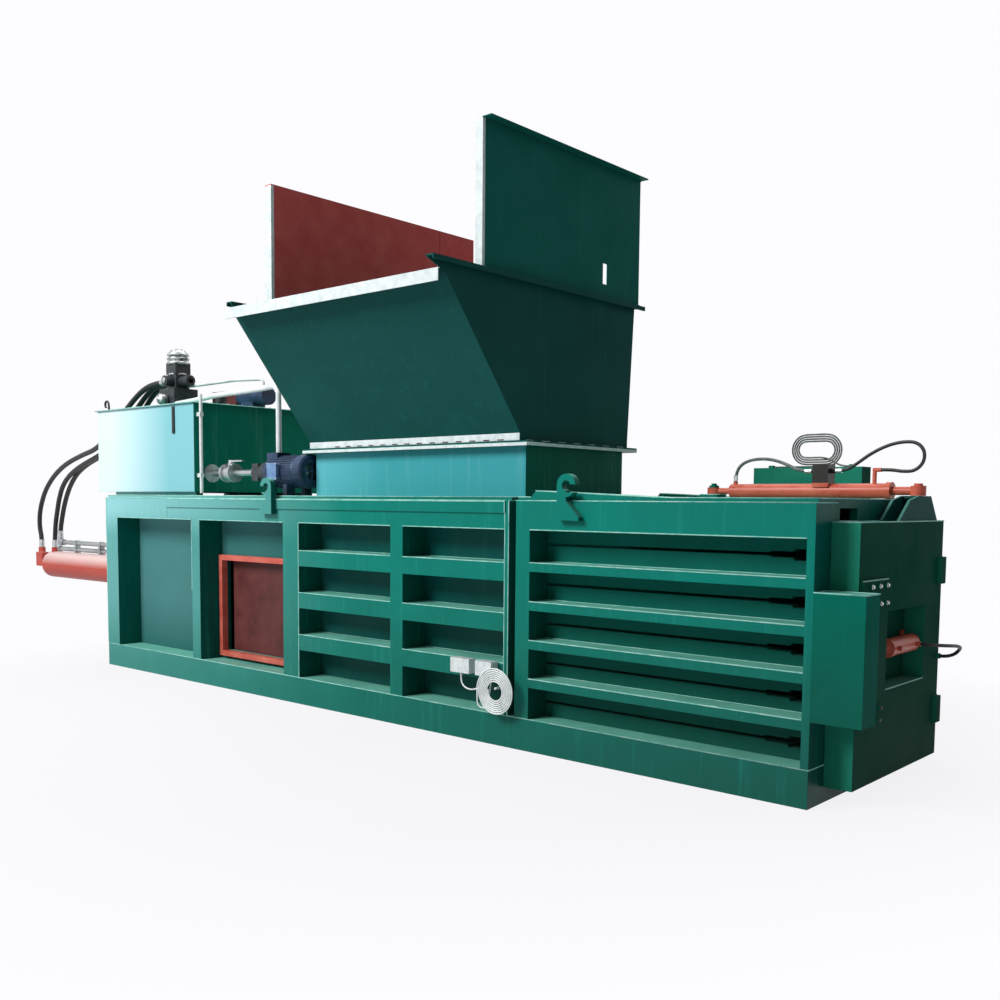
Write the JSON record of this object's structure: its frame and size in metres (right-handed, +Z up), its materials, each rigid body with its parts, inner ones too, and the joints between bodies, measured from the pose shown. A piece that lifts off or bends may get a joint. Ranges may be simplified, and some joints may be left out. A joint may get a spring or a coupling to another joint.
{
  "type": "horizontal recycling baler",
  "caption": "Horizontal hydraulic baler with a feed hopper, a ram driven by one long cylinder, a slotted bale chamber and a swinging, bolted bale door.",
  "frame": {"origin": "on the floor at the centre of the main frame's underside", "axes": "+X from the rear towards the bale door, +Y to the far side, +Z up"},
  "size_m": [9.08, 2.39, 3.454],
  "materials": {
    "teal_paint": "gloss",
    "dark_green_paint": "satin",
    "red_primer": "satin",
    "orange_paint": "gloss",
    "red_frame": "satin",
    "motor_blue": "satin",
    "pale_blue_paint": "gloss",
    "steel": "satin",
    "chrome_rod": "polished",
    "cast": "rough",
    "black_rubber": "satin",
    "white_plastic": "gloss",
    "white_conduit": "gloss"
  },
  "bodies": {
    "machine": {"bale_roof": "teal_paint", "base_frame": "teal_paint", "box_cable": "white_plastic", "cable_coil": "white_plastic", "coil_lead": "white_plastic", "conduit": "white_conduit", "cooler_motor": "motor_blue", "cooler_pump": "red_frame", "cylinder_cradle": "dark_green_paint", "cylinder_head": "orange_paint", "door_valve_box": "dark_green_paint", "drive_motor": "motor_blue", "far_bale_frame": "teal_paint", "far_bale_wall": "teal_paint", "far_feed_frame": "teal_paint", "far_rear_frame": "teal_paint", "far_side_sheet": "teal_paint", "feed_collar": "teal_paint", "feed_hopper": "dark_green_paint", "hinge_brackets": "dark_green_paint", "hose_one": "black_rubber", "hose_three": "black_rubber", "hose_two": "black_rubber", "junction_boxes": "white_plastic", "latch_box": "teal_paint", "lead_coil": "black_rubber", "left_guard": "red_primer", "lifting_hooks": "teal_paint", "main_barrel": "orange_paint", "motor_cowl": "motor_blue", "near_bale_frame": "teal_paint", "near_bale_wall": "teal_paint", "near_feed_frame": "teal_paint", "near_rear_frame": "teal_paint", "near_side_sheet": "teal_paint", "oil_pipes": "steel", "oil_pump": "cast", "oil_tank": "teal_paint", "rear_wall": "teal_paint", "right_guard": "dark_green_paint", "solenoid_valves": "cast", "suction_line": "steel", "tail_bracket": "teal_paint", "tank_fittings": "steel", "top_deck": "teal_paint", "valve_manifold": "steel", "window_frame": "red_frame"},
    "ram_carriage": {"ram": "red_primer", "main_rod": "chrome_rod"},
    "motor_spindle": {"motor_rotor": "steel"},
    "lever": {"valve_lever": "steel"},
    "bale_door": {"door": "dark_green_paint", "door_bracket": "dark_green_paint", "lock_cylinder": "orange_paint", "lock_hose": "black_rubber"},
    "bolt": {"lock_bolt": "steel"},
    "lift_barrel": {"door_cylinder": "orange_paint", "tail_hose": "black_rubber", "rod_hose": "black_rubber"},
    "lift_rod": {"door_cylinder_rod": "orange_paint"}
  },
  "joints": [
    {"name": "ram_slide", "type": "slide", "parent": "machine", "child": "ram_carriage", "axis": [1, 0, 0], "range_m": [0, 3.4]},
    {"name": "motor_spin", "type": "hinge", "parent": "machine", "child": "motor_spindle", "pos_m": [-0.931, -0.5, 1.592], "axis": [1, 0, 0], "continuous": true},
    {"name": "valve_lever_turn", "type": "hinge", "parent": "machine", "child": "lever", "pos_m": [-1.631, -0.5, 1.68], "axis": [0, 0, 1], "range_deg": [0, 90]},
    {"name": "door_hinge", "type": "hinge", "parent": "machine", "child": "bale_door", "pos_m": [3.201, 0.59, 0.6], "axis": [0, 0, 1], "range_deg": [0, 100]},
    {"name": "lock_slide", "type": "slide", "parent": "bale_door", "child": "bolt", "axis": [0, -1, 0], "range_m": [0, 0.12]},
    {"name": "door_cylinder_swing", "type": "hinge", "parent": "machine", "child": "lift_barrel", "pos_m": [2.034, 0.3, 1.466], "axis": [0, 0, 1], "range_deg": [0, 13.76]},
    {"name": "door_rod_slide", "type": "slide", "parent": "lift_barrel", "child": "lift_rod", "axis": [1, 0, 0], "range_m": [0, 0.31085]}
  ],
  "couplings": [
    {"joint": "door_cylinder_swing", "follows": "door_hinge", "ratio": 0.13762},
    {"joint": "door_rod_slide", "follows": "door_hinge", "m_per_rad": 0.1781}
  ]
}
